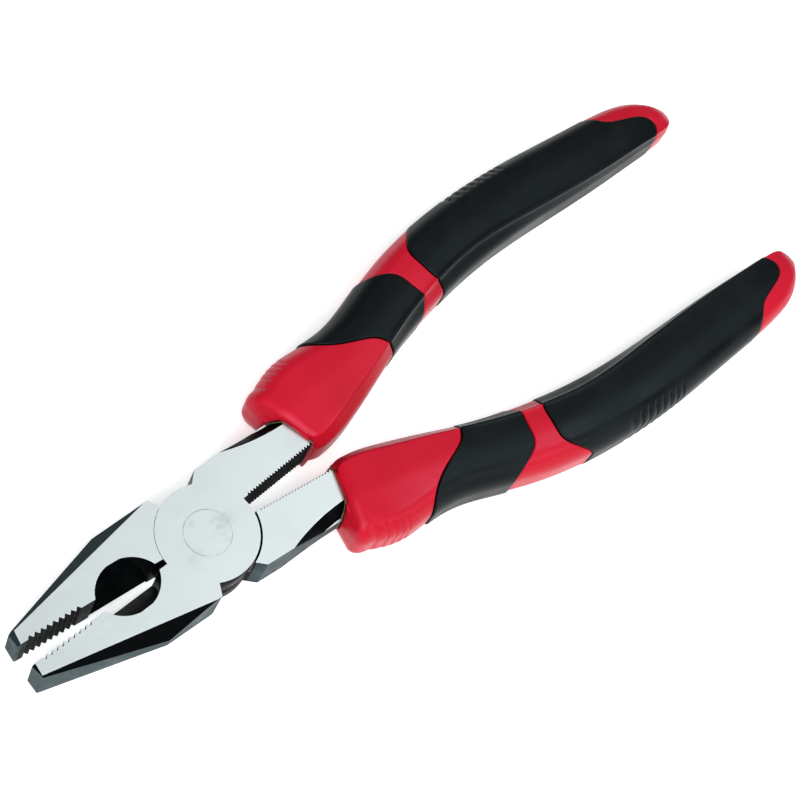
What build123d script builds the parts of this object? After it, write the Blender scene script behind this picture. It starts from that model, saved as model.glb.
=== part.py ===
from build123d import *
import math
import os

# Lap-joint combination pliers: two forged halves that cross at a riveted joint,
# each with a jaw at -X, a thick tang at +X and a two-material grip moulded on the tang.
#
# Frame: the origin is on the pivot axis, at the flat underside of the joint.
# +X points along the tool towards the handles, +Z along the pivot axis.
# "front" is the half whose joint disc is on the upper side.
#
# One half is drawn in its own frame: the jaws' closing plane is y = 0, the middle of
# the steel's thickness is z = 0, its jaw lies at y < 0, its tang and grip at y > 0.

# ---------------------------------------------------------------- driving dimensions, mm

steel_t = 11.2              # thickness of the head and the tangs
rest_angle = 5.7            # angle between the two closing planes as stored, degrees

# joint
disc_r = 11.2               # joint disc of each half
recess_jaw_r = 11.28        # other half's recess, on its jaw side
recess_tang_r = 11.65       # other half's recess, on its tang side
lap_gap = 0.10              # between the two discs' lap faces
rivet_r = 4.0
rivet_head_r = 5.2
rivet_head_h = 2.4
running_gap = 0.05          # rivet in the half that turns on it

# jaws
closing_gap = 0.10          # each closing face stays this far from the closing plane
jaw_length = 46.2           # pivot to tip
jaw_half_width = 12.4       # widest point of the head, from the closing plane
tip_half_width = 3.35
tip_chamfer = 1.0           # ground off across the tip, down the end face
front_tip_back = (0.6, 0.1) # and along the jaw, at its inner and its outer corner
rear_tip_back = (0.6, 1.0)
jaw_kink_x = -20.0          # where the jaw's outer wall turns in towards the tip
jaw_shoulder_x = -6.6
bevel_depth = 4.1           # side bevels, measured down the wall at the kink
bevel_start_x = -7.6
bevel_tip_inset = 0.4       # the bevels nearly run out at the tip

# toothed stretch of the closing face
tooth_pitch = 1.43
tooth_count = 9
tooth_depth = 0.75
tooth_width = 1.25
first_tooth_x = -43.9

# cutter pocket behind the teeth
pocket_r = 7.9
pocket_x = -20.6
pocket_centre_y = 2.9       # the pocket's centre lies beyond the closing plane
knife_z = 1.5               # height of the knife edge over the underside
knife_gap = 0.05
relief_depth = 1.5          # small bevel under the knife edge

# tang between the joint and the grip
tang_inner_start = (9.0, 1.2)
tang_inner_end_y = 1.95
shoulder_foot = (4.4, 10.3)
shoulder = (6.8, 12.4)
wall_start = (12.0, 12.4)
wall_end = (34.0, 11.9)
mouth_outer = (29.5, 9.6)   # where the grip's mouth crosses the tang's outer top edge
mouth_inner = (31.5, 1.95)
tang_bevel_depth = 3.2
tang_bevel_width = 2.2
bevel_line = [(11.0, 13.6), (20.0, 10.55), (34.0, 9.2)]     # its edge on the ground face
waste_reach = 20.0
serration_pitch = 0.80
serration_count = 24
serration_depth = 0.45
serration_width = 0.68
serration_start_x = 12.4

# tang inside the grip: x, centre y, half width; it also gets thinner towards its end
buried_t = steel_t - 0.5
buried_end_t = 7.0
buried_thinning_x = 36.0
buried_reach = 40.0
buried_tang = [(26.0, 6.9, 4.7), (35.0, 8.4, 4.6), (47.0, 11.9, 4.3), (62.0, 15.9, 4.0),
               (80.0, 19.6, 3.7), (100.0, 21.8, 3.4), (120.0, 21.7, 3.1), (138.0, 20.3, 2.6)]

# grip: x, inner y, outer y, half height, corner radius
grip_stations = [
    (24.0, 0.8, 16.7, 6.8, 4.2),
    (31.0, 0.3, 19.8, 7.7, 4.6),
    (38.0, 0.4, 21.8, 8.2, 4.8),
    (46.0, 2.2, 21.5, 8.1, 4.8),
    (54.0, 4.7, 21.7, 8.0, 4.8),
    (64.0, 8.0, 24.3, 8.1, 4.8),
    (76.0, 10.7, 27.5, 8.2, 4.8),
    (88.0, 12.5, 29.3, 8.1, 4.8),
    (101.0, 13.4, 29.9, 7.9, 4.8),
    (115.0, 13.2, 29.4, 7.6, 4.8),
    (129.0, 12.5, 28.0, 7.1, 4.6),
    (142.0, 12.0, 26.6, 6.5, 4.4),
    (153.0, 11.8, 25.1, 5.8, 4.2),
    (159.5, 11.7, 22.6, 5.0, 3.8),
    (163.0, 12.6, 19.8, 3.9, 3.0),
    (165.0, 14.4, 17.6, 2.2, 1.5),
]
mouth_round = 2.0           # rounding of the grip's mouth
pad_depth = 1.8             # black pads, into the red sleeve
pad_proud = 0.2             # and above it
zone_reach = 12.0           # half height of the tools that cut the pads out
thin_end = 3.0              # an inset form ends where it gets thinner than this many insets

# glue bead round the tang at the grip's mouth
bead_width = 0.6
bead_depth = 1.2

# colour boundaries in plan, from the outer side to the inner side
collar_end = [(43.0, 27.0), (46.3, 20.4), (50.2, 16.5), (54.8, 14.1), (58.8, 12.3),
              (61.0, 10.1), (62.2, 7.5), (62.0, 2.0)]
band_start = [(56.0, 29.0), (65.5, 25.4), (69.5, 23.8), (72.6, 22.2), (74.6, 19.5),
              (75.4, 16.0), (76.0, 13.0), (75.4, 11.6), (72.0, 8.0)]
band_end = [(94.0, 33.0), (85.2, 28.0), (82.8, 26.3), (81.0, 24.4), (80.4, 21.5),
            (80.9, 17.5), (81.5, 14.9), (82.4, 12.6), (83.0, 7.0)]
tail_start = [(139.5, 31.0), (144.3, 25.8), (146.3, 23.2), (149.3, 20.8), (153.0, 19.5),
              (156.2, 18.2), (158.2, 16.2), (158.4, 14.2), (157.0, 12.4), (153.0, 9.0)]

half_t = steel_t / 2
half_angle = math.radians(rest_angle / 2)

# plane of the grip's mouth, facing the joint
mouth_edge = (Vector(*mouth_inner, 0) - Vector(*mouth_outer, 0)).normalized()
mouth_normal = Vector(mouth_edge.Y, -mouth_edge.X, 0)
mouth_plane = Plane(origin=Vector(*mouth_outer, 0), x_dir=mouth_edge, z_dir=mouth_normal)
mouth_width = math.dist(mouth_outer, mouth_inner)


# ---------------------------------------------------------------- steel

def jaw_bevel_plane(side):
    """Plane of the long side bevel on the jaw's upper (+1) or lower (-1) face."""
    start = Vector(bevel_start_x, -jaw_half_width, side * half_t)
    tip = Vector(-jaw_length, bevel_tip_inset - tip_half_width, side * half_t)
    kink = Vector(jaw_kink_x, -jaw_half_width, side * (half_t - bevel_depth))
    normal = (tip - start).cross(kink - start).normalized()
    outward = normal if normal.Y < 0 else -normal
    return Plane(origin=start, x_dir=(tip - start).normalized(), z_dir=outward)


def tip_plane(side, inner_back, outer_back):
    """Plane ground across the jaw's tip on the upper (+1) or lower (-1) face."""
    inner = Vector(inner_back - jaw_length, 0, side * half_t)
    outer = Vector(outer_back - jaw_length, -tip_half_width, side * half_t)
    foot = Vector(-jaw_length, 0, side * (half_t - tip_chamfer))
    normal = (outer - inner).cross(foot - inner).normalized()
    outward = normal if normal.X < 0 else -normal
    return Plane(origin=inner, x_dir=(outer - inner).normalized(), z_dir=outward)


def pocket_plane(face_z, edge_z, depth):
    """Sloping floor of the cutter pocket, from the knife edge up to a face."""
    edge = Vector(pocket_x, -knife_gap, edge_z)
    foot = Vector(pocket_x, -knife_gap - depth, face_z)
    normal = Vector(1, 0, 0).cross(foot - edge).normalized()
    outward = normal if normal.Z * (face_z - edge_z) > 0 else -normal
    return Plane(origin=edge, x_dir=Vector(1, 0, 0), z_dir=outward)


def cutter_pocket(side):
    """What is ground away behind the teeth: a deep bevel on one face, a relief on the other."""
    edge_z = side * (knife_z - half_t)
    pocket_depth = pocket_r - pocket_centre_y
    with BuildPart() as deep:
        with BuildSketch(Plane.XY.offset(edge_z)):
            with Locations((pocket_x, pocket_centre_y)):
                Circle(pocket_r)
        extrude(amount=side * (half_t - side * edge_z + 1))
        split(bisect_by=pocket_plane(side * half_t, edge_z, pocket_depth - 0.2), keep=Keep.TOP)
    with BuildPart() as relief:
        with BuildSketch(Plane.XY.offset(edge_z)):
            with Locations((pocket_x, pocket_centre_y)):
                Circle(pocket_r)
        extrude(amount=-side * (knife_z + 1))
        split(bisect_by=pocket_plane(-side * half_t, edge_z, relief_depth), keep=Keep.TOP)
    return deep.part + relief.part


def tang_bevel(side):
    """Waste along the tang's outer edge; it widens towards the grip."""
    edge_z = side * half_t
    with BuildPart() as waste:
        for drop, shift in ((-0.5, -0.5), (tang_bevel_depth, tang_bevel_width)):
            start, middle, end = [(x, y + shift) for x, y in bevel_line]
            with BuildSketch(Plane.XY.offset(edge_z - side * drop)):
                with BuildLine():
                    ThreePointArc(start, middle, end)
                    Polyline(end, (end[0], waste_reach), (start[0], waste_reach), start)
                make_face()
        loft(ruled=True)
    return waste.part


def buried_bar():
    """Tapering bar that carries the grip."""
    outer = [(x, y + w) for x, y, w in buried_tang]
    inner = [(x, y - w) for x, y, w in buried_tang]
    start_x = buried_tang[0][0]
    end_x = buried_tang[-1][0]
    with BuildPart() as bar:
        with BuildSketch(Plane.XY.offset(-buried_t / 2)):
            with BuildLine():
                Spline(*outer)
                Line(outer[-1], inner[-1])
                Spline(*reversed(inner))
                Line(inner[0], outer[0])
            make_face()
        extrude(amount=buried_t)
        with BuildSketch(Plane.XZ):
            with BuildLine():
                Polyline((start_x - 1, buried_t / 2), (buried_thinning_x, buried_t / 2),
                         (end_x + 1, buried_end_t / 2), (end_x + 1, -buried_end_t / 2),
                         (buried_thinning_x, -buried_t / 2), (start_x - 1, -buried_t / 2),
                         (start_x - 1, buried_t / 2))
            make_face()
        extrude(amount=-buried_reach, mode=Mode.INTERSECT)
    return bar.part


def forged_half(cutter_side, rivet_gap, tip_back):
    """One forged half; its cutter pocket opens on the cutter_side face."""
    with BuildPart() as half:
        # jaw
        with BuildSketch(Plane.XY.offset(-half_t)):
            with BuildLine():
                Polyline((0, -closing_gap), (-jaw_length, -closing_gap),
                         (-jaw_length, -tip_half_width), (jaw_kink_x, -jaw_half_width),
                         (jaw_shoulder_x, -jaw_half_width), (0, -closing_gap))
            make_face()
        extrude(amount=steel_t)
        for side in (1, -1):
            split(bisect_by=jaw_bevel_plane(side), keep=Keep.BOTTOM)
            split(bisect_by=tip_plane(side, *tip_back), keep=Keep.BOTTOM)

        # tang up to the grip
        with BuildSketch(Plane.XY.offset(-half_t)):
            with BuildLine():
                Polyline(tang_inner_start, shoulder_foot, shoulder, wall_start, wall_end,
                         (wall_end[0], mouth_inner[1]), mouth_inner, tang_inner_start)
            make_face()
        extrude(amount=steel_t)
        split(bisect_by=mouth_plane, keep=Keep.TOP)

        add(buried_bar())
        add(tang_bevel(1), mode=Mode.SUBTRACT)
        add(tang_bevel(-1), mode=Mode.SUBTRACT)

        # lap joint: this half's disc, and the recess for the other half's disc
        with BuildSketch(Plane.XY.offset(lap_gap / 2)):
            Circle(disc_r)
        extrude(amount=half_t - lap_gap / 2)
        with BuildSketch(Plane.XY.offset(-half_t)):
            Circle(recess_jaw_r)
            with BuildLine():
                CenterArc((0, 0), recess_tang_r, -90, 180)
                Line((0, recess_tang_r), (0, -recess_tang_r))
            make_face()
        extrude(amount=half_t + lap_gap / 2, mode=Mode.SUBTRACT)

        # teeth on the closing face
        with BuildSketch(Plane.XY.offset(-half_t)):
            for index in range(tooth_count):
                x = first_tooth_x + index * tooth_pitch
                root = (x + tooth_width / 2, -closing_gap - tooth_depth)
                with BuildLine():
                    Polyline((x, 0.5), (x, -closing_gap), root, (x + tooth_width, -closing_gap),
                             (x + tooth_width, 0.5), (x, 0.5))
                make_face()
        extrude(amount=steel_t, mode=Mode.SUBTRACT)

        # serrations on the tang's inner edge
        start_x, start_y = tang_inner_start
        rise = (tang_inner_end_y - start_y) / (mouth_inner[0] - start_x)
        with BuildSketch(Plane.XY.offset(-half_t)):
            for index in range(serration_count):
                x = serration_start_x + index * serration_pitch
                y = start_y + rise * (x - start_x)
                root = (x + serration_width / 2, y + serration_depth)
                with BuildLine():
                    Polyline((x, y - 0.5), (x, y), root, (x + serration_width, y),
                             (x + serration_width, y - 0.5), (x, y - 0.5))
                make_face()
        extrude(amount=steel_t, mode=Mode.SUBTRACT)

        # rivet hole, countersunk square for the flush head
        with BuildSketch(Plane.XY):
            Circle(rivet_r + rivet_gap)
        extrude(amount=half_t, mode=Mode.SUBTRACT)
        with BuildSketch(Plane.XY.offset(half_t - rivet_head_h - rivet_gap)):
            Circle(rivet_head_r + rivet_gap)
        extrude(amount=rivet_head_h + rivet_gap, mode=Mode.SUBTRACT)

        add(cutter_pocket(cutter_side), mode=Mode.SUBTRACT)
    return half.part


# ---------------------------------------------------------------- grip

def grip_body(inset):
    """The grip's outer form, drawn in by inset all round; a deep inset leaves out the thin end."""
    with BuildPart() as body:
        for x, inner_y, outer_y, half_z, corner in grip_stations:
            width = outer_y - inner_y - 2 * inset
            height = 2 * (half_z - inset)
            if height > thin_end * inset:
                with BuildSketch(Plane.YZ.offset(x)):
                    with Locations(((inner_y + outer_y) / 2, 0)):
                        RectangleRounded(width, height, corner - inset * 0.6)
        loft()
    return body.part


def colour_zone(start_edge, end_edge):
    """Upright prism over one pad's stretch of the grip."""
    with BuildPart() as zone:
        with BuildSketch(Plane.XY.offset(-zone_reach)):
            with BuildLine():
                Spline(*start_edge)
                Line(start_edge[-1], end_edge[-1])
                Spline(*reversed(end_edge))
                Line(end_edge[0], start_edge[0])
            make_face()
        extrude(amount=2 * zone_reach)
    return zone.part


def black_pad(zone):
    """Ring of soft plastic round the sleeve, a little proud of it."""
    with BuildPart() as pad:
        add(grip_body(-pad_proud))
        add(zone, mode=Mode.INTERSECT)
        add(pad_floor, mode=Mode.SUBTRACT)
    return pad.part


def glue_bead():
    """Ring of adhesive that closes the sleeve's mouth round the tang."""
    with BuildPart() as bead:
        with BuildSketch(mouth_plane):
            with BuildLine():
                Polyline((mouth_width, buried_t / 2), (0, buried_t / 2),
                         (-tang_bevel_width, half_t - tang_bevel_depth),
                         (-tang_bevel_width, tang_bevel_depth - half_t), (0, -buried_t / 2),
                         (mouth_width, -buried_t / 2), (mouth_width, buried_t / 2))
            make_face()
            offset(amount=bead_width)
        extrude(amount=-bead_depth)
        add(front_steel, mode=Mode.SUBTRACT)
    return bead.part


def pad_pocket(zone):
    """What a pad takes out of the sleeve: everything in its zone outside the pad floor."""
    with BuildPart() as pocket:
        add(zone)
        add(pad_floor, mode=Mode.SUBTRACT)
    return pocket.part


def red_sleeve(pad_pockets):
    """Hard sleeve over the tang, with a pocket under each black pad."""
    with BuildPart() as sleeve:
        add(grip_body(0))
        split(bisect_by=mouth_plane, keep=Keep.BOTTOM)
        rim = sleeve.faces().filter_by(mouth_plane).edges()
        fillet(rim, radius=mouth_round)
        for pocket in pad_pockets:
            add(pocket, mode=Mode.SUBTRACT)
        add(front_steel, mode=Mode.SUBTRACT)
        add(bead, mode=Mode.SUBTRACT)
    return sleeve.part


# ---------------------------------------------------------------- pieces and their places

front_x = Vector(math.cos(half_angle), math.sin(half_angle), 0)
rear_x = Vector(math.cos(half_angle), -math.sin(half_angle), 0)
front_frame = Plane(origin=(0, 0, half_t), x_dir=front_x, z_dir=(0, 0, 1))
rear_frame = Plane(origin=(0, 0, half_t), x_dir=rear_x, z_dir=(0, 0, -1))

front_steel = forged_half(1, 0.0, front_tip_back)
rear_steel = forged_half(-1, running_gap, rear_tip_back)
pad_floor = grip_body(pad_depth)
fore_zone = colour_zone(collar_end, band_start)
rear_zone = colour_zone(band_end, tail_start)
bead = glue_bead()
sleeve = red_sleeve((pad_pocket(fore_zone), pad_pocket(rear_zone)))
fore_pad = black_pad(fore_zone)
rear_pad = black_pad(rear_zone)

with BuildPart() as rivet:
    with BuildSketch(Plane.XY):
        Circle(rivet_head_r)
    extrude(amount=rivet_head_h)
    with BuildSketch(Plane.XY):
        Circle(rivet_r)
    extrude(amount=steel_t)
    with BuildSketch(Plane.XY.offset(steel_t - rivet_head_h)):
        Circle(rivet_head_r)
    extrude(amount=rivet_head_h)

pieces = {"joint_rivet": rivet.part}
for side, frame, steel in (("front", front_frame, front_steel), ("rear", rear_frame, rear_steel)):
    pieces[side + "_forged_half"] = frame.from_local_coords(steel)
    pieces[side + "_red_sleeve"] = frame.from_local_coords(sleeve)
    pieces[side + "_fore_pad"] = frame.from_local_coords(fore_pad)
    pieces[side + "_rear_pad"] = frame.from_local_coords(rear_pad)
    pieces[side + "_glue_bead"] = frame.from_local_coords(bead)

os.makedirs("parts", exist_ok=True)
for name, piece in pieces.items():
    piece.label = name
    export_step(piece, "parts/" + name + ".step")
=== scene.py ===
import math

import bpy
import numpy as np
from mathutils import Matrix, Vector


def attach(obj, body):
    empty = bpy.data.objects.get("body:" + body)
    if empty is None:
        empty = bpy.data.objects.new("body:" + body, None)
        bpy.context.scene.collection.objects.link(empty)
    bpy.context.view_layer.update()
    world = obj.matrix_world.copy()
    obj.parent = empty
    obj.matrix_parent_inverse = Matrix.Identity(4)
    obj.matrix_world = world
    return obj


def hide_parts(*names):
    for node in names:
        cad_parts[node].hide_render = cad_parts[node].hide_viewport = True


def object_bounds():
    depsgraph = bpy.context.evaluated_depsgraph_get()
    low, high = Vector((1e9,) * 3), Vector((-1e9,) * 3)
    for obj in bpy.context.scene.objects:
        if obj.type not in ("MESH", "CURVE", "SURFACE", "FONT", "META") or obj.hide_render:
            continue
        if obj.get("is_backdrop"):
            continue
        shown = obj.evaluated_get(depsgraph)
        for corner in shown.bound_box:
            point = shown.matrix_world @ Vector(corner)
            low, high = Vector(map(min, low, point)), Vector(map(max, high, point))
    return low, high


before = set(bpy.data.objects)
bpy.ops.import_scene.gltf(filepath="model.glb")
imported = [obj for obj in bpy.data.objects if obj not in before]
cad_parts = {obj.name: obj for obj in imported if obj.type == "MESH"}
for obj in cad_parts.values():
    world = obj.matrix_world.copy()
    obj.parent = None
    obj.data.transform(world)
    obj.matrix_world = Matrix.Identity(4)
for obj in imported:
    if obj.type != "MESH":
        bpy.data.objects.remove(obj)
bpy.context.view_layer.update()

# Lap-joint combination pliers. The steel halves and the rivet are the CAD nodes with worked
# materials; the moulded grips and the adhesive are modelled here, in place of their CAD nodes.
#
# A grip is drawn in its half's own frame, in mm: x runs along the handle, y from the inner
# side (facing the other handle) to the outer side, z out of the ground face.

MM = 0.001
HALF_T = 5.6                      # middle of the steel's thickness over the underside
HALF_ANGLE = math.radians(2.85)   # each half is turned this much from the closed position

# ------------------------------------------------------------------ grip dimensions, mm

# x, inner y, outer y, half height
STATIONS = (
    (24.0, 0.8, 16.7, 6.8), (31.0, 0.3, 19.8, 7.7), (38.0, 0.4, 21.8, 8.2),
    (46.0, 2.2, 21.5, 8.1), (54.0, 4.7, 21.7, 8.0), (64.0, 8.0, 24.3, 8.1),
    (76.0, 10.7, 27.5, 8.2), (88.0, 12.5, 29.3, 8.1), (101.0, 13.4, 29.9, 7.9),
    (115.0, 13.2, 29.4, 7.6), (129.0, 12.5, 28.0, 7.1), (142.0, 12.0, 26.6, 6.5),
    (153.0, 11.8, 25.1, 5.8), (159.5, 11.7, 22.6, 5.0), (163.0, 12.6, 19.8, 3.9),
    (165.0, 14.4, 17.6, 2.2),
)
# x, distance of the moulded ridge from the inner side
RIDGE = ((24.0, 1.8), (35.0, 2.0), (46.0, 2.6), (57.0, 2.2), (70.0, 2.6), (85.0, 3.1),
         (95.0, 3.0), (104.0, 2.4), (115.0, 1.7), (130.0, 1.2), (145.0, 1.0), (165.0, 0.9))
RIDGE_DROP = 0.7            # ridge below the crown
RIDGE_R = 0.8
CROWN_R = 14.0
SHOULDER_IN = 2.8           # outer shoulder from the outer side
SHOULDER_DROP = 0.9
SHOULDER_R = 5.0
FLANK_Z = 3.6               # the sides are upright up to here
INNER_R = 4.0
OUTER_R = 5.0
FULL_WIDTH = 15.5           # a section this wide and high has the radii above
FULL_HALF_Z = 7.8
LIP = 0.24                  # the ridge carries a thin lip, which grows over this stretch of x
LIP_X = (58.0, 66.0)

# points of a section: round each corner of the upper face, from the inner to the outer side,
# and along the span after each of them, of which the fifth is the outer flank
CORNER_STEPS = (5, 6, 5, 9, 6)
SPAN_STEPS = (2, 3, 3, 2, 5)
INNER_FLANK_STEPS = 6
LONGEST_CUT = 0.48          # a corner's rounding takes at most this share of a span
LIP_FORM = (0.35, 0.85, 1.0, 1.0, 0.75, 0.3, 0.05)      # heights of the lip across the ridge
RIDGE_FIRST = 8             # where the ridge's rounding starts in the outline
RIDGE_MIRRORED = 15         # and ends in its mirrored part, from the outline's end

# colour boundaries in plan, x over y
MOUTH = ((27.0, 19.2), (29.5, 9.6), (31.9, 0.4))
COLLAR_END = ((43.0, 27.0), (46.3, 20.4), (50.2, 16.5), (54.8, 14.1), (58.8, 12.3),
              (61.0, 10.1), (62.2, 7.5), (62.0, 2.0))
BAND_START = ((56.0, 29.0), (65.5, 25.4), (69.5, 23.8), (72.6, 22.2), (74.6, 19.5),
              (75.4, 16.0), (76.0, 13.0), (75.4, 11.6), (72.0, 8.0))
BAND_END = ((94.0, 33.0), (85.2, 28.0), (82.8, 26.3), (81.0, 24.4), (80.4, 21.5),
            (80.9, 17.5), (81.5, 14.9), (82.4, 12.6), (83.0, 7.0))
TAIL_START = ((139.5, 31.0), (144.3, 25.8), (146.3, 23.2), (149.3, 20.8), (153.0, 19.5),
              (156.2, 18.2), (158.2, 16.2), (158.4, 14.2), (157.0, 12.4), (153.0, 9.0))

SECTION_STEP = 0.25         # spacing of the sections that the surface is read from
PAD_PROUD = 0.19            # pads over the sleeve
FORE_PAD_SWELL = 0.25       # the fore pad stands out this much more on its outer side
PAD_INNER = -1.0            # inner skin of a pad, from the grip's surface
SLEEVE_FLOOR = -1.25        # sleeve under a pad
SEAM = 0.10                 # half width of the seam between sleeve and pad
EDGE_R = 0.32               # rounding of both along the seam
MOUTH_R = 2.1               # rounding of the collar's rim, across the surface
MOUTH_LONG = 3.3            # and along the handle
LINING = ((6.0, 0.05), (1.2, 0.25), (0.35, 0.45), (0.06, 0.75))     # depth, gap to the tang
FACE_GAP = 1.1              # from the tang to the flat face of the mouth

# finger ribs: centres along x, depth, half width of one groove
COLLAR_RIBS = (31.4, 33.7, 35.6, 37.3, 39.0)
COLLAR_RIB_DEPTH = 0.30
COLLAR_RIB_WIDTH = 0.27
PAD_RIBS = (99.4, 101.9, 104.3, 106.7, 109.0, 111.3, 113.5, 115.5)
PAD_RIB_DEPTH = 0.50
PAD_RIB_WIDTH = 0.36
RIB_SIDE = (0.66, 0.84)     # how far out on the section ribs begin and are full

# bead of adhesive: radius, stretch along the handle, place, and the waves round it,
# each with its number, height and phase
BEAD_R = 0.20
BEAD_LONG = 1.6
BEAD_DEPTH = 0.10           # its middle, inside the mouth
BEAD_LIFT = 0.8             # and off the tang, in radii
BEAD_STEPS = 8
BEAD_WAVES = ((5, 0.30, 0.4), (11, 0.22, 1.9))

# rows of points along the handle
COLLAR_ROWS = 100
BAND_ROWS = 26
UNDER_REAR_PAD_ROWS = 14
TAIL_ROWS = 30
TAIL_CROWDING = 1.6         # over 1, they crowd towards the tail's end
FORE_PAD_ROWS = 60
REAR_PAD_ROWS = 44          # outside the ribbed stretch, given as shares of the pad's length
RIBBED_ROWS = 110
RIBBED_STRETCH = (0.26, 0.68)
ROUND_STEPS = 4             # over the rounding of a seam's edge
MOUTH_STEPS = 12            # and of the mouth's rim

# tang outline at the grip's mouth, upper half, from the inner to the outer side
TANG_OUTLINE = ((1.95, 0.0), (1.95, 5.6), (9.6, 5.6), (11.8, 2.4), (11.9, 0.0))
TANG_CENTRE_Y = 6.9
PARALLEL = 1e-9             # a ray along an edge doesn't cross it
CORNER_SLACK = 1e-6         # a ray through a corner meets one of its edges


# ------------------------------------------------------------------ curves and sections

def natural_spline(points):
    """Smooth curve through (position, value) pairs, as a function that takes an array."""
    knots, values = np.array(sorted(points)).T
    count = len(knots)
    gap = np.diff(knots)
    slope = np.diff(values) / gap
    system = np.eye(count)
    right = np.zeros(count)
    for i in range(1, count - 1):
        system[i, i - 1:i + 2] = gap[i - 1], 2 * (gap[i - 1] + gap[i]), gap[i]
        right[i] = 6 * (slope[i] - slope[i - 1])
    bend = np.linalg.solve(system, right)

    def at(x):
        x = np.clip(np.asarray(x, float), knots[0], knots[-1])
        i = np.clip(np.searchsorted(knots, x) - 1, 0, count - 2)
        past = x - knots[i]
        left = knots[i + 1] - x
        curve = (bend[i] * left ** 3 + bend[i + 1] * past ** 3) / (6 * gap[i])
        start = values[i] / gap[i] - bend[i] * gap[i] / 6
        end = values[i + 1] / gap[i] - bend[i + 1] * gap[i] / 6
        return curve + start * left + end * past

    return at


def rounded_outline(corners, radii, arc_steps, edge_steps):
    """Closed polygon with rounded corners, as points that keep their order and number."""
    count = len(corners)
    arcs = [corner_arc(corners[i - 1], corners[i], corners[(i + 1) % count], radii[i], arc_steps[i])
            for i in range(count)]
    points = []
    for i, arc in enumerate(arcs):
        start = arc[-1]
        end = arcs[(i + 1) % count][0]
        points += arc
        for k in range(1, edge_steps[i] + 1):
            points.append(start + (end - start) * k / (edge_steps[i] + 1))
    return np.array(points)


def corner_arc(before, corner, after, radius, steps):
    """Points of the arc that rounds a corner, smaller where the spans beside it are short."""
    here = np.array(corner)
    back = np.array(before) - here
    on = np.array(after) - here
    back_length = np.linalg.norm(back)
    on_length = np.linalg.norm(on)
    back /= back_length
    on /= on_length
    half = 0.5 * math.acos(max(-1.0, min(1.0, float(back @ on))))
    cut = min(radius / math.tan(half), LONGEST_CUT * back_length, LONGEST_CUT * on_length)
    radius = cut * math.tan(half)
    middle = (back + on) / np.linalg.norm(back + on)
    centre = here + middle * radius / math.sin(half)
    first = here + back * cut - centre
    last = here + on * cut - centre
    start = math.atan2(first[1], first[0])
    turn = math.atan2(last[1], last[0]) - start
    turn = (turn + math.pi) % (2 * math.pi) - math.pi
    angles = [start + turn * k / steps for k in range(steps + 1)]
    return [centre + radius * np.array((math.cos(angle), math.sin(angle))) for angle in angles]


inner_at = natural_spline([(s[0], s[1]) for s in STATIONS])
outer_at = natural_spline([(s[0], s[2]) for s in STATIONS])
half_z_at = natural_spline([(s[0], s[3]) for s in STATIONS])
ridge_at = natural_spline(RIDGE)


def grip_section(x):
    """Outline of the grip at x: a crowned face with a ridge at its inner side, mirrored."""
    inner = float(inner_at(x))
    outer = float(outer_at(x))
    half_z = float(half_z_at(x))
    width = outer - inner
    scale = min(width / FULL_WIDTH, half_z / FULL_HALF_Z, 1.0)
    ridge = (inner + float(ridge_at(x)) * scale, half_z - RIDGE_DROP * scale)
    crown = (inner + 0.5 * width, half_z)
    shoulder = (outer - SHOULDER_IN * scale, half_z - SHOULDER_DROP * scale)
    flank_z = FLANK_Z * scale
    upper = [(inner, flank_z), ridge, crown, shoulder, (outer, flank_z)]
    lower = [(y, -z) for y, z in reversed(upper)]
    radii = [r * scale for r in (INNER_R, RIDGE_R, CROWN_R, SHOULDER_R, OUTER_R)]
    outline = rounded_outline(upper + lower, radii + radii[::-1], CORNER_STEPS + CORNER_STEPS[::-1],
                              SPAN_STEPS + SPAN_STEPS[-2::-1] + (INNER_FLANK_STEPS,))
    return lipped(outline, float(np.interp(x, LIP_X, (0.0, LIP))) * scale)


def lipped(outline, height):
    """Raises a thin lip on both ridges, the second corner from either end of the outline."""
    share = np.zeros(len(outline))
    share[RIDGE_FIRST:RIDGE_FIRST + len(LIP_FORM)] = LIP_FORM
    last = len(outline) - RIDGE_MIRRORED
    share[last - len(LIP_FORM) + 1:last + 1] = LIP_FORM[::-1]
    return outline + outward_normals(outline) * (share * height)[:, None]


def outward_normals(outline):
    """Unit normals of a closed outline, pointing away from its middle."""
    along = np.roll(outline, -1, 0) - np.roll(outline, 1, 0)
    normal = np.stack((-along[:, 1], along[:, 0]), 1)
    normal /= np.linalg.norm(normal, axis=1)[:, None]
    outside = ((outline - outline.mean(0)) * normal).sum(1)
    return normal * np.sign(outside.sum())


sections_x = np.arange(STATIONS[0][0], STATIONS[-1][0] + 1e-6, SECTION_STEP)
sections = np.array([grip_section(x) for x in sections_x])
section_normals = np.array([outward_normals(s) for s in sections])
around = sections.shape[1]


def surface(x_row, offset=0.0):
    """One row of points on the grip, at its own x for each line along the handle."""
    row = np.empty((around, 3))
    for u in range(around):
        x = x_row[u]
        ny = np.interp(x, sections_x, section_normals[:, u, 0])
        nz = np.interp(x, sections_x, section_normals[:, u, 1])
        row[u] = (x, np.interp(x, sections_x, sections[:, u, 0]) + ny * offset,
                  np.interp(x, sections_x, sections[:, u, 1]) + nz * offset)
    return row


def boundary(points):
    """Where a boundary drawn in plan crosses each line along the handle."""
    x_over_y = natural_spline([(y, x) for x, y in points])
    crossing = np.empty(around)
    for u in range(around):
        ahead = sections_x - x_over_y(sections[:, u, 0])
        k = int(np.argmax(ahead > 0))
        share = -ahead[k - 1] / (ahead[k] - ahead[k - 1])
        crossing[u] = sections_x[k - 1] + share * SECTION_STEP
    return crossing


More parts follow.
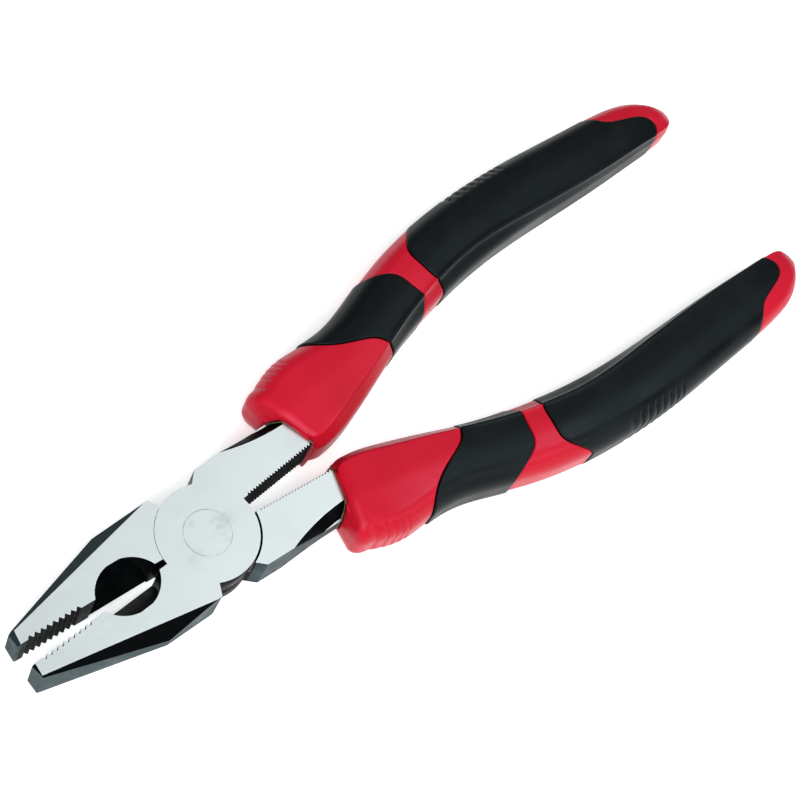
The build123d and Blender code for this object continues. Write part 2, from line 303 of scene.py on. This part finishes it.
def ribbed(row, centres, depth, width):
    """Presses the finger ribs into the outer side of a row of surface points."""
    x = row[:, 0]
    inner = inner_at(x)
    outer = outer_at(x)
    out = (row[:, 1] - (inner + outer) / 2) / ((outer - inner) / 2)
    share = np.clip((out - RIB_SIDE[0]) / (RIB_SIDE[1] - RIB_SIDE[0]), 0, 1)
    share = share * share * (3 - 2 * share)
    press = np.zeros(around)
    for centre in centres:
        press += np.exp(-((x - centre) / width) ** 2)
    middle = np.stack((x, (inner + outer) / 2, np.zeros(around)), 1)
    towards = middle - row
    towards /= np.linalg.norm(towards, axis=1)[:, None]
    return row + towards * (press * share * depth)[:, None]


# ------------------------------------------------------------------ meshes

def half_matrix(side):
    """From one half's own frame, in mm, to the shared frame; side is +1 front, -1 rear."""
    cos = math.cos(HALF_ANGLE)
    sin = math.sin(HALF_ANGLE)
    turn = Matrix(((cos, -sin, 0, 0), (side * sin, side * cos, 0, 0),
                   (0, 0, side, HALF_T), (0, 0, 0, 1)))
    return Matrix.Scale(MM, 4) @ turn


def ring_mesh(name, rows, side, closed=False, poles=(None, None)):
    """Mesh of closed rows; the ends are joined to each other, or closed at a point."""
    place = half_matrix(side)
    verts = [place @ Vector(point) for row in rows for point in row]
    count = len(rows)
    steps = [(u, (u + 1) % around) for u in range(around)]
    faces = []
    for i in range(count if closed else count - 1):
        here = i * around
        there = ((i + 1) % count) * around
        faces += [(here + u, here + v, there + v, there + u) for u, v in steps]
    for pole, start, turned in zip(poles, (0, (count - 1) * around), (True, False)):
        if pole is not None:
            tip = len(verts)
            verts.append(place @ Vector(pole))
            faces += [(start + v, start + u, tip) if turned else (start + u, start + v, tip)
                      for u, v in steps]
    mesh = bpy.data.meshes.new(name)
    mesh.from_pydata(verts, [], faces)
    mesh.validate()
    piece = bpy.data.objects.new(name, mesh)
    bpy.context.scene.collection.objects.link(piece)
    face_outwards(mesh)
    mesh.shade_smooth()
    return piece


def face_outwards(mesh):
    """Flips a closed mesh whose faces look inwards."""
    mesh.calc_loop_triangles()
    volume = 0.0
    for tri in mesh.loop_triangles:
        a, b, c = (mesh.vertices[i].co for i in tri.vertices)
        volume += a.dot(b.cross(c))
    if volume < 0:
        mesh.flip_normals()


def spread(start, end, shares):
    """Rows of x values between two boundaries, at the given shares of the way."""
    return [start + (end - start) * share for share in shares]


def dense_shares(count, stretch, dense):
    """Shares from 0 to 1: dense of them over the stretch and count outside it."""
    first, last = stretch
    before = int(count * first / (1 - last + first))
    head = np.linspace(0, first, before, endpoint=False)
    middle = np.linspace(first, last, dense, endpoint=False)
    tail = np.linspace(last, 1, count - before + 1)
    return np.concatenate((head, middle, tail))


def crossed(a, b):
    return a[0] * b[1] - a[1] * b[0]


def tang_point(y, z):
    """Where the ray from the tang's middle through (y, z) leaves the tang's outline."""
    ray = (y - TANG_CENTRE_Y, abs(z))
    for (y0, z0), (y1, z1) in zip(TANG_OUTLINE, TANG_OUTLINE[1:]):
        start = (y0 - TANG_CENTRE_Y, z0)
        edge = (y1 - y0, z1 - z0)
        across = crossed(ray, edge)
        if abs(across) > PARALLEL:
            reach = crossed(start, edge) / across
            along = crossed(start, ray) / across
            if reach > 0 and -CORNER_SLACK <= along <= 1 + CORNER_SLACK:
                return TANG_CENTRE_Y + ray[0] * reach, math.copysign(ray[1] * reach, z)
    return y, z


def tang_row(outer_row, x_row, clearance):
    """Row round the tang that matches a row of the grip point for point."""
    row = np.empty((around, 3))
    for u in range(around):
        y, z = tang_point(outer_row[u, 1], outer_row[u, 2])
        away = np.array((y - TANG_CENTRE_Y, z))
        away /= np.linalg.norm(away)
        row[u] = (x_row[u], y + away[0] * clearance, z + away[1] * clearance)
    return row


mouth_x = boundary(MOUTH)
collar_end_x = boundary(COLLAR_END)
band_start_x = boundary(BAND_START)
band_end_x = boundary(BAND_END)
tail_start_x = boundary(TAIL_START)


def mouth_rows():
    """The sleeve's mouth: from inside, round the tang, over the rim to the outer face."""
    rim = surface(mouth_x + MOUTH_LONG)
    rows = [tang_row(rim, mouth_x + depth, gap) for depth, gap in LINING]
    face_inner = tang_row(rim, mouth_x, FACE_GAP)
    face_outer = surface(mouth_x + MOUTH_LONG, -MOUTH_R)
    face_outer[:, 0] = mouth_x
    for share in (0.0, 0.5, 0.9):
        rows.append(face_inner + (face_outer - face_inner) * share)
    for k in range(MOUTH_STEPS + 1):
        angle = math.radians(90 * k / MOUTH_STEPS)
        row = surface(mouth_x + MOUTH_LONG, -MOUTH_R * (1 - math.sin(angle)))
        row[:, 0] = mouth_x + MOUTH_LONG * (1 - math.cos(angle))
        rows.append(row)
    return rows


def falling_edge(x_edge, top, floor, way):
    """Rows that round over an edge and drop to a floor; way is +1 towards larger x."""
    rows = []
    for k in range(ROUND_STEPS + 1):
        angle = math.radians(90 * k / ROUND_STEPS)
        x_row = x_edge - way * EDGE_R * (1 - math.sin(angle))
        rows.append(surface(x_row, top - EDGE_R * (1 - math.cos(angle))))
    rows.append(surface(x_edge, floor))
    return rows


def face_rows(start, end, count):
    """Rows at full height between two rounded edges, which have rows of their own."""
    return [surface(x) for x in spread(start, end, np.linspace(0, 1, count))[1:-1]]


def pocket_floor(start, end, shares):
    """Rows of the sleeve under a pad."""
    return [surface(x, SLEEVE_FLOOR) for x in spread(start, end, shares)]


def tail_rows(start):
    """Rows of the tail, which crowd towards its round end."""
    end = np.full(around, STATIONS[-1][0])
    shares = 1 - (1 - np.linspace(0, 1, TAIL_ROWS)) ** TAIL_CROWDING
    return [surface(x) for x in spread(start + EDGE_R, end, shares)[1:]]


def sleeve(name, side):
    """The red sleeve: collar, band and tail stand full, with pockets for the pads between."""
    collar_end = collar_end_x - SEAM
    band_start = band_start_x + SEAM
    band_end = band_end_x - SEAM
    tail_start = tail_start_x + SEAM
    rows = mouth_rows()
    rows += face_rows(mouth_x + MOUTH_LONG, collar_end - EDGE_R, COLLAR_ROWS)
    rows += falling_edge(collar_end, 0.0, SLEEVE_FLOOR, 1)
    rows += pocket_floor(collar_end, band_start, (0.25, 0.5, 0.75))
    rows += falling_edge(band_start, 0.0, SLEEVE_FLOOR, -1)[::-1]
    rows += face_rows(band_start + EDGE_R, band_end - EDGE_R, BAND_ROWS)
    rows += falling_edge(band_end, 0.0, SLEEVE_FLOOR, 1)
    rows += pocket_floor(band_end, tail_start, np.linspace(0, 1, UNDER_REAR_PAD_ROWS)[1:-1])
    rows += falling_edge(tail_start, 0.0, SLEEVE_FLOOR, -1)[::-1]
    rows += tail_rows(tail_start)
    rows = [ribbed(row, COLLAR_RIBS, COLLAR_RIB_DEPTH, COLLAR_RIB_WIDTH) for row in rows]
    start_pole = (float(mouth_x.mean()) + LINING[0][0], TANG_CENTRE_Y, 0.0)
    last_x, inner, outer = STATIONS[-1][:3]
    end_pole = (last_x, (inner + outer) / 2, 0.0)
    return ring_mesh(name, rows, side, poles=(start_pole, end_pole))


def pad(name, side, start_x, end_x, shares, swell):
    """A black pad: a closed ring that stands a little proud, by swell more on its outer side."""
    start = start_x + SEAM
    end = end_x - SEAM
    rows = falling_edge(start, PAD_PROUD, PAD_INNER, -1)[::-1]
    rows += [surface(x, PAD_PROUD) for x in spread(start + EDGE_R, end - EDGE_R, shares)[1:-1]]
    rows += falling_edge(end, PAD_PROUD, PAD_INNER, 1)
    for row in rows:
        out = row[:, 1] - (inner_at(row[:, 0]) + outer_at(row[:, 0])) / 2
        row[:, 1] += swell * np.clip(out / (FULL_WIDTH / 2), 0, 1)
    rows += [surface(x, PAD_INNER) for x in spread(end, start, (0.2, 0.4, 0.6, 0.8))]
    rows = [ribbed(row, PAD_RIBS, PAD_RIB_DEPTH, PAD_RIB_WIDTH) for row in rows]
    return ring_mesh(name, rows, side, closed=True)


def adhesive(name, side):
    """Uneven bead of dried adhesive where the tang enters the sleeve."""
    rim = surface(mouth_x + MOUTH_LONG)
    turns = np.arange(around) * 2 * math.pi / around
    swell = 1 + sum(height * np.sin(waves * turns + phase) for waves, height, phase in BEAD_WAVES)
    rows = []
    for k in range(BEAD_STEPS):
        angle = 2 * math.pi * k / BEAD_STEPS
        row = tang_row(rim, mouth_x + BEAD_DEPTH, BEAD_R * (BEAD_LIFT + math.cos(angle)))
        row[:, 0] += BEAD_LONG * BEAD_R * math.sin(angle) * swell
        rows.append(row)
    return ring_mesh(name, rows, side, closed=True)


# ------------------------------------------------------------------ materials

def material(name):
    """A new node material: the tree, its Principled node and the object coordinates."""
    made = bpy.data.materials.new(name)
    made.use_nodes = True
    tree = made.node_tree
    shader = tree.nodes["Principled BSDF"]
    coords = tree.nodes.new("ShaderNodeTexCoord").outputs["Object"]
    return made, tree, shader, coords


def linked(tree, socket, value):
    """Sets a socket to a number, a colour or another socket."""
    if hasattr(value, "is_output"):
        tree.links.new(value, socket)
    else:
        socket.default_value = value


def noise(tree, coords, scale, detail=3.0, rough=0.55, stretch=(1.0, 1.0, 1.0)):
    """Noise from 0 to 1; stretch squeezes it along each axis."""
    mapped = tree.nodes.new("ShaderNodeMapping")
    mapped.inputs["Scale"].default_value = stretch
    tree.links.new(coords, mapped.inputs["Vector"])
    made = tree.nodes.new("ShaderNodeTexNoise")
    made.inputs["Scale"].default_value = scale
    made.inputs["Detail"].default_value = detail
    made.inputs["Roughness"].default_value = rough
    tree.links.new(mapped.outputs["Vector"], made.inputs["Vector"])
    return made.outputs["Fac"]


def ranged(tree, value, low, high, to_low=0.0, to_high=1.0, smooth=False):
    """Maps low..high to to_low..to_high, clamped."""
    made = tree.nodes.new("ShaderNodeMapRange")
    made.interpolation_type = "SMOOTHSTEP" if smooth else "LINEAR"
    made.clamp = True
    for socket, number in zip(("From Min", "From Max", "To Min", "To Max"),
                              (low, high, to_low, to_high)):
        made.inputs[socket].default_value = number
    tree.links.new(value, made.inputs["Value"])
    return made.outputs["Result"]


def math_node(tree, operation, a, b=0.0):
    """One sum, product or other operation on two numbers or sockets."""
    made = tree.nodes.new("ShaderNodeMath")
    made.operation = operation
    linked(tree, made.inputs[0], a)
    linked(tree, made.inputs[1], b)
    return made.outputs[0]


def mix_colour(tree, share, a, b):
    """Colour a where share is 0 and colour b where it is 1."""
    made = tree.nodes.new("ShaderNodeMix")
    made.data_type = "RGBA"
    linked(tree, made.inputs["Factor"], share)
    for socket, value in zip((made.inputs[6], made.inputs[7]), (a, b)):
        linked(tree, socket, value if hasattr(value, "is_output") else (*value, 1.0))
    return made.outputs[2]


def mix_value(tree, share, a, b):
    """Value a where share is 0 and value b where it is 1."""
    made = tree.nodes.new("ShaderNodeMix")
    linked(tree, made.inputs["Factor"], share)
    linked(tree, made.inputs[2], a)
    linked(tree, made.inputs[3], b)
    return made.outputs[0]


def bump(tree, height, distance, strength, before=None):
    """Normal of a surface raised by height, on top of the bump before it."""
    made = tree.nodes.new("ShaderNodeBump")
    made.inputs["Distance"].default_value = distance
    made.inputs["Strength"].default_value = strength
    tree.links.new(height, made.inputs["Height"])
    if before is not None:
        tree.links.new(before, made.inputs["Normal"])
    return made.outputs["Normal"]


GROUND_STEEL = (0.745, 0.800, 0.800)
STAINED_STEEL = (0.42, 0.455, 0.46)
BLACK_FINISH = (0.0010, 0.0014, 0.0016)
BLACK_WORN = (0.0040, 0.0055, 0.0060)
PAINTED_SLATE_REFLECTION = (0.030, 0.048, 0.053)      # painted reflection on outer walls, shoulders and tips; the worn tone below varies it at random
PAINTED_SLATE_REFLECTION_WORN = (0.060, 0.085, 0.090)
PAINTED_BEVEL_REFLECTION = (0.012, 0.023, 0.025)      # painted reflection on the rear jaw's long bevel

# steel zones, in metres, in a half's own frame
RIVET_R = 0.0052
RIVET_LINE = (0.00004, 0.00018)           # half width of the ring: full and faded out
STAIN_R = (0.0105, 0.0035)                # stains begin and are full this near the pivot
JOINT_R = 0.0119                          # walls nearer to the pivot than this are black, without the painted reflection
WALL_Y = 0.0032                           # outer walls are farther than this from y = 0
TO_POCKET = (0.0206, -0.0029)             # shift that brings the cutter pocket's centre to 0
# walls within this radius of the cutter pocket's centre are black, without the painted reflection
POCKET_R = 0.0086
TIP_X = (-0.0452, -0.0456)                # the jaw's end face
JAW_X = (-0.0060, -0.0070)                # the jaw's root
ZONE_BLUR = 0.0001

# how upright a surface is: from wall to ground face, and from bevel to wall
GROUND_FACE = (0.80, 0.95)
STEEP = (0.50, 0.30)

GROUND_ROUGH = (0.34, 0.44)
WALL_ROUGH = (0.30, 0.46)
WALL_SPECULAR = 0.012                     # the black finish reflects very little
GRIND_LINES = (0.06, 1.0, 1.0)            # stretches noise into lines along x
MIDDLE = (0.3, 0.7)                       # most of a noise's values lie here


def half_coords(tree, coords, side):
    """Object coordinates turned into one half's own frame."""
    mapped = tree.nodes.new("ShaderNodeMapping")
    mapped.inputs["Location"].default_value = (0, 0, -side * HALF_T * MM)
    mapped.inputs["Rotation"].default_value = (0 if side > 0 else math.pi, 0, -HALF_ANGLE)
    tree.links.new(coords, mapped.inputs["Vector"])
    return mapped.outputs["Vector"]


def separated(tree, vector):
    split = tree.nodes.new("ShaderNodeSeparateXYZ")
    tree.links.new(vector, split.inputs[0])
    return split.outputs["X"], split.outputs["Y"], split.outputs["Z"]


def distance(tree, x, y, shift=(0.0, 0.0)):
    """Distance in plan, after x and y are moved by shift, in metres."""
    moved_x = math_node(tree, "ADD", x, shift[0])
    moved_y = math_node(tree, "ADD", y, shift[1])
    x2 = math_node(tree, "POWER", moved_x, 2.0)
    y2 = math_node(tree, "POWER", moved_y, 2.0)
    return math_node(tree, "SQRT", math_node(tree, "ADD", x2, y2))


def uprightness(tree):
    """How far a surface looks along the pivot axis: 1 on the ground faces, 0 on walls."""
    geometry = tree.nodes.new("ShaderNodeNewGeometry")
    return math_node(tree, "ABSOLUTE", separated(tree, geometry.outputs["Normal"])[2])


def rivet_ring(tree, coords, radius):
    """Broken line where the rivet's head meets the joint."""
    off = math_node(tree, "ABSOLUTE", math_node(tree, "SUBTRACT", radius, RIVET_R))
    line = ranged(tree, off, *RIVET_LINE, 1.0, 0.0)
    broken = ranged(tree, noise(tree, coords, 330.0, 3.0), 0.36, 0.58, 0.15, 0.95)
    return math_node(tree, "MULTIPLY", line, broken)


def ground_steel(tree, coords, radius):
    """Colour of the satin ground faces: clouds, specks and stains round the rivet."""
    stain = ranged(tree, noise(tree, coords, 230.0, 5.0, 0.62), 0.50, 0.72, 0.0, 0.62)
    near_rivet = ranged(tree, radius, *STAIN_R, smooth=True)
    stain = math_node(tree, "MULTIPLY", stain, near_rivet)
    speck = ranged(tree, noise(tree, coords, 700.0, 2.0), 0.70, 0.80, 0.0, 0.22)
    cloud = ranged(tree, noise(tree, coords, 60.0, 4.0), 0.40, 0.72, 0.0, 0.13)
    marks = math_node(tree, "MAXIMUM", stain, speck)
    marks = math_node(tree, "MAXIMUM", marks, cloud)
    marks = math_node(tree, "MAXIMUM", marks, rivet_ring(tree, coords, radius))
    return mix_colour(tree, marks, GROUND_STEEL, STAINED_STEEL)


def wall_finish(tree, coords, half, upright, radius, bevel_colour):
    """Colour of the unground walls: black inside, on the bevels and the tang, with a painted
    reflection in slate on the walls outside and bevel_colour on the jaw's bevels.
    """
    x, y = separated(tree, half)[:2]
    worn = ranged(tree, noise(tree, coords, 150.0, 4.0), 0.42, 0.75)
    # painted reflection for the outer walls, varied at random by wear
    slate_reflection = mix_colour(tree, worn, PAINTED_SLATE_REFLECTION, PAINTED_SLATE_REFLECTION_WORN)
    black = mix_colour(tree, worn, BLACK_FINISH, BLACK_WORN)
    off_centre = ranged(tree, math_node(tree, "ABSOLUTE", y), WALL_Y, WALL_Y + 2 * ZONE_BLUR)
    outside = math_node(tree, "MAXIMUM", off_centre, ranged(tree, x, *TIP_X))
    from_pocket = distance(tree, x, y, TO_POCKET)
    for from_centre, reach in ((radius, JOINT_R), (from_pocket, POCKET_R)):
        clear = ranged(tree, from_centre, reach, reach + ZONE_BLUR)
        outside = math_node(tree, "MULTIPLY", outside, clear)
    on_jaw = math_node(tree, "MULTIPLY", outside, ranged(tree, x, *JAW_X))
    # bevels on the jaw take bevel_colour: the black finish on the front half, a painted reflection
    # on the rear half
    black = mix_colour(tree, on_jaw, black, bevel_colour)
    steep = ranged(tree, upright, *STEEP)
    # the steep outer walls take the painted reflection
    return mix_colour(tree, math_node(tree, "MULTIPLY", outside, steep), black, slate_reflection)


def grind_lines(tree, coords):
    return noise(tree, coords, 900.0, 3.0, 0.6, stretch=GRIND_LINES)


def steel_normal(tree, coords, height):
    """Normal with the given relief and a finer grain on it."""
    normal = bump(tree, height, 0.000012, 0.6)
    return bump(tree, noise(tree, coords, 3200.0, 2.0), 0.000006, 0.5, before=normal)


def half_material(name, side, bevel_colour):
    """Ground satin steel on the flat faces, unground finish on walls and bevels, with painted
    reflection on the outer walls and the rear jaw's bevel.
    """
    made, tree, shader, coords = material(name)
    radius = distance(tree, *separated(tree, coords)[:2])
    upright = uprightness(tree)
    flat = ranged(tree, upright, *GROUND_FACE, smooth=True)
    ground = ground_steel(tree, coords, radius)
    half = half_coords(tree, coords, side)
    wall = wall_finish(tree, coords, half, upright, radius, bevel_colour)
    grind = grind_lines(tree, coords)
    scale = noise(tree, coords, 420.0, 4.0, 0.6)
    tree.links.new(mix_colour(tree, flat, wall, ground), shader.inputs["Base Color"])
    ground_rough = ranged(tree, grind, *MIDDLE, *GROUND_ROUGH)
    wall_rough = ranged(tree, scale, *MIDDLE, *WALL_ROUGH)
    tree.links.new(mix_value(tree, flat, wall_rough, ground_rough), shader.inputs["Roughness"])
    tree.links.new(flat, shader.inputs["Metallic"])
    relief = mix_value(tree, flat, scale, grind)
    tree.links.new(steel_normal(tree, coords, relief), shader.inputs["Normal"])
    shader.inputs["Specular IOR Level"].default_value = WALL_SPECULAR
    return made


def rivet_material():
    """The rivet's heads are ground together with the joint."""
    made, tree, shader, coords = material("rivet_steel_ground")
    radius = distance(tree, *separated(tree, coords)[:2])
    grind = grind_lines(tree, coords)
    tree.links.new(ground_steel(tree, coords, radius), shader.inputs["Base Color"])
    tree.links.new(ranged(tree, grind, *MIDDLE, *GROUND_ROUGH), shader.inputs["Roughness"])
    tree.links.new(steel_normal(tree, coords, grind), shader.inputs["Normal"])
    shader.inputs["Metallic"].default_value = 1.0
    return made


RED = (0.49, 0.006, 0.022)
RED_DEEP = (0.42, 0.0045, 0.015)
RED_ROUGH = (0.30, 0.42)
RED_TINT = (1.0, 0.66, 0.95, 1.0)
BLACK = (0.0012, 0.0018, 0.0021)
BLACK_DUSTY = (0.0045, 0.0065, 0.0072)
BLACK_ROUGH = (0.33, 0.52)
BLACK_TINT = (0.84, 0.97, 1.0, 1.0)
GLUE = (0.10, 0.055, 0.018)
# painted shade for the bead's hollows, where its bump is low
GLUE_PAINTED_SHADE = (0.025, 0.015, 0.006)
GLUE_ROUGH = (0.25, 0.5)
PAPER = (0.90, 0.90, 0.90)
PAPER_PALE = (0.92, 0.92, 0.92)
PAPER_GLOW = 0.38


def red_material():
    """Semi-gloss moulded plastic with a fine moulded grain."""
    made, tree, shader, coords = material("red_moulded_plastic")
    cloud = noise(tree, coords, 38.0, 3.0)
    share = ranged(tree, cloud, 0.35, 0.70)
    tree.links.new(mix_colour(tree, share, RED, RED_DEEP), shader.inputs["Base Color"])
    rub = noise(tree, coords, 160.0, 5.0, 0.6)
    tree.links.new(ranged(tree, rub, *MIDDLE, *RED_ROUGH), shader.inputs["Roughness"])
    grain = noise(tree, coords, 2600.0, 3.0, 0.6)
    normal = bump(tree, noise(tree, coords, 90.0, 2.0), 0.00012, 0.25)
    tree.links.new(bump(tree, grain, 0.00002, 0.35, before=normal), shader.inputs["Normal"])
    shader.inputs["IOR"].default_value = 1.50
    shader.inputs["Specular IOR Level"].default_value = 0.20
    shader.inputs["Specular Tint"].default_value = RED_TINT
    return made


def black_material():
    """Soft satin rubber: cloudy sheen, fine grain and a few pale specks."""
    made, tree, shader, coords = material("black_soft_rubber")
    cloud = noise(tree, coords, 70.0, 5.0, 0.62)
    dust = ranged(tree, noise(tree, coords, 900.0, 2.0), 0.70, 0.78)
    share = math_node(tree, "MAXIMUM", ranged(tree, cloud, 0.40, 0.75), dust)
    tree.links.new(mix_colour(tree, share, BLACK, BLACK_DUSTY), shader.inputs["Base Color"])
    tree.links.new(ranged(tree, cloud, *MIDDLE, *BLACK_ROUGH), shader.inputs["Roughness"])
    grain = noise(tree, coords, 2200.0, 4.0, 0.65)
    normal = bump(tree, noise(tree, coords, 110.0, 3.0), 0.00015, 0.30)
    tree.links.new(bump(tree, grain, 0.00003, 0.45, before=normal), shader.inputs["Normal"])
    shader.inputs["IOR"].default_value = 1.45
    shader.inputs["Specular IOR Level"].default_value = 0.17
    shader.inputs["Specular Tint"].default_value = BLACK_TINT
    return made


def adhesive_material():
    """Brownish dried glue, with painted shade in its hollows."""
    made, tree, shader, coords = material("dried_adhesive")
    lump = noise(tree, coords, 1400.0, 4.0, 0.6)
    # painted shade: darker where the bump's height is low
    tree.links.new(mix_colour(tree, ranged(tree, lump, 0.35, 0.65), GLUE_PAINTED_SHADE, GLUE),
                   shader.inputs["Base Color"])
    tree.links.new(ranged(tree, lump, *MIDDLE, *GLUE_ROUGH), shader.inputs["Roughness"])
    tree.links.new(bump(tree, lump, 0.0001, 0.7), shader.inputs["Normal"])
    return made


def floor_material():
    """Plain pale paper."""
    made, tree, shader, coords = material("pale_floor")
    fibre = noise(tree, coords, 260.0, 4.0)
    tree.links.new(mix_colour(tree, fibre, PAPER, PAPER_PALE), shader.inputs["Base Color"])
    shader.inputs["Roughness"].default_value = 0.85
    shader.inputs["Specular IOR Level"].default_value = 0.1
    shader.inputs["Emission Color"].default_value = (1.0, 1.0, 1.0, 1.0)
    shader.inputs["Emission Strength"].default_value = PAPER_GLOW
    return made


# ------------------------------------------------------------------ carried-over steel

WELD_REACH = 2e-6
BROKEN_EDGE = 0.00009
SHARP_ANGLE = math.radians(28)      # edges sharper than this are broken


def finish_steel(node, made):
    """Gives a CAD node its material and breaks its sharp edges by a hair."""
    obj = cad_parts[node]
    if not obj.material_slots:
        obj.data.materials.append(made)
    for place in obj.material_slots:
        place.material = made
    weld = obj.modifiers.new("weld", "WELD")
    weld.merge_threshold = WELD_REACH
    broken = obj.modifiers.new("broken_edges", "BEVEL")
    broken.width = BROKEN_EDGE
    broken.segments = 2
    broken.limit_method = "ANGLE"
    broken.angle_limit = SHARP_ANGLE
    broken.use_clamp_overlap = True
    broken.harden_normals = True


def steel_parts():
    """The two halves and the rivet; each half's bevels have their own colour, the rear one's a
    painted reflection.
    """
    front = half_material("front_half_steel", 1, BLACK_FINISH)
    # the rear half's bevel colour is a painted reflection
    rear = half_material("rear_half_steel", -1, PAINTED_BEVEL_REFLECTION)
    finish_steel("front_forged_half", front)
    finish_steel("rear_forged_half", rear)
    finish_steel("joint_rivet", rivet_material())


# ------------------------------------------------------------------ grips

def dress(piece, made, body, node):
    """Material and motion of one piece, which takes its CAD node's place."""
    piece.data.materials.append(made)
    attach(piece, body)
    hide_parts(node)


def grips():
    """Sleeve, two pads and adhesive for each handle."""
    red = red_material()
    black = black_material()
    glue = adhesive_material()
    fore_shares = np.linspace(0, 1, FORE_PAD_ROWS)
    rear_shares = dense_shares(REAR_PAD_ROWS, RIBBED_STRETCH, RIBBED_ROWS)
    for name, side in (("front", 1), ("rear", -1)):
        body = name + "_lever"
        dress(sleeve(name + "_sleeve", side), red, body, name + "_red_sleeve")
        fore = pad(name + "_fore_grip_pad", side, collar_end_x, band_start_x, fore_shares,
                   FORE_PAD_SWELL)
        dress(fore, black, body, name + "_fore_pad")
        rear = pad(name + "_rear_grip_pad", side, band_end_x, tail_start_x, rear_shares, 0.0)
        dress(rear, black, body, name + "_rear_pad")
        dress(adhesive(name + "_adhesive", side), glue, body, name + "_glue_bead")


# ------------------------------------------------------------------ stage, light, camera

FLOOR_SIZE = 6.0
LIT_POINT = (0.05, 0.0, 0.0)
WHITE = (1.0, 1.0, 1.0)
# name, place, size, power in watts, colour
SOFTBOXES = (
    ("overhead_box", (0.46, 0.16, 0.78), (0.70, 0.70), 1.15, WHITE),
    ("side_box", (0.20, -0.62, 0.36), (0.50, 0.22), 1.3, WHITE),
    ("slate_box", (0.46, -0.25, 0.76), (0.28, 0.15), 1.9, (0.85, 0.96, 1.0)),
    ("key_box", (-0.55, -0.35, 0.90), (0.90, 0.90), 15.0, WHITE),
)
SKY = (0.95, 0.97, 1.0, 1.0)
SKY_STRENGTH = 0.20
CAMERA_AT = (-0.15688, -0.08074, 0.41212)
CAMERA_TURN = (25.5401, -15.2252, -40.1593)     # degrees about x, y and z
CAMERA_LENS = 94.5                              # mm, on a sensor 36 mm wide


def floor():
    """A wide sheet under the lowest point of the pliers."""
    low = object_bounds()[0]
    half = FLOOR_SIZE / 2
    mesh = bpy.data.meshes.new("floor")
    corners = [(-half, -half, 0), (half, -half, 0), (half, half, 0), (-half, half, 0)]
    mesh.from_pydata(corners, [], [(0, 1, 2, 3)])
    plate = bpy.data.objects.new("floor", mesh)
    plate.location = (0, 0, low[2])
    bpy.context.scene.collection.objects.link(plate)
    mesh.materials.append(floor_material())
    plate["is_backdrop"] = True


def softbox(name, place, size, power, colour):
    """A rectangular light that looks at the lit point."""
    data = bpy.data.lights.new(name, "AREA")
    data.shape = "RECTANGLE"
    data.size = size[0]
    data.size_y = size[1]
    data.energy = power
    data.color = colour
    lamp = bpy.data.objects.new(name, data)
    lamp.location = place
    aim = Vector(LIT_POINT) - Vector(place)
    lamp.rotation_euler = aim.to_track_quat("-Z", "Y").to_euler()
    bpy.context.scene.collection.objects.link(lamp)


def light():
    """Softboxes and a dim sky."""
    for box in SOFTBOXES:
        softbox(*box)
    world = bpy.data.worlds.new("studio")
    world.use_nodes = True
    sky = world.node_tree.nodes["Background"]
    sky.inputs["Color"].default_value = SKY
    sky.inputs["Strength"].default_value = SKY_STRENGTH
    bpy.context.scene.world = world
    bpy.context.scene.view_settings.view_transform = "Standard"


def camera():
    """Looks down from beside the jaws; the handles run off to the upper right."""
    data = bpy.data.cameras.new("camera")
    data.lens = CAMERA_LENS
    data.sensor_width = 36.0
    data.clip_start = 0.01
    view = bpy.data.objects.new("camera", data)
    view.location = CAMERA_AT
    view.rotation_euler = [math.radians(angle) for angle in CAMERA_TURN]
    bpy.context.scene.collection.objects.link(view)
    bpy.context.scene.camera = view


steel_parts()
grips()
floor()
light()
camera()
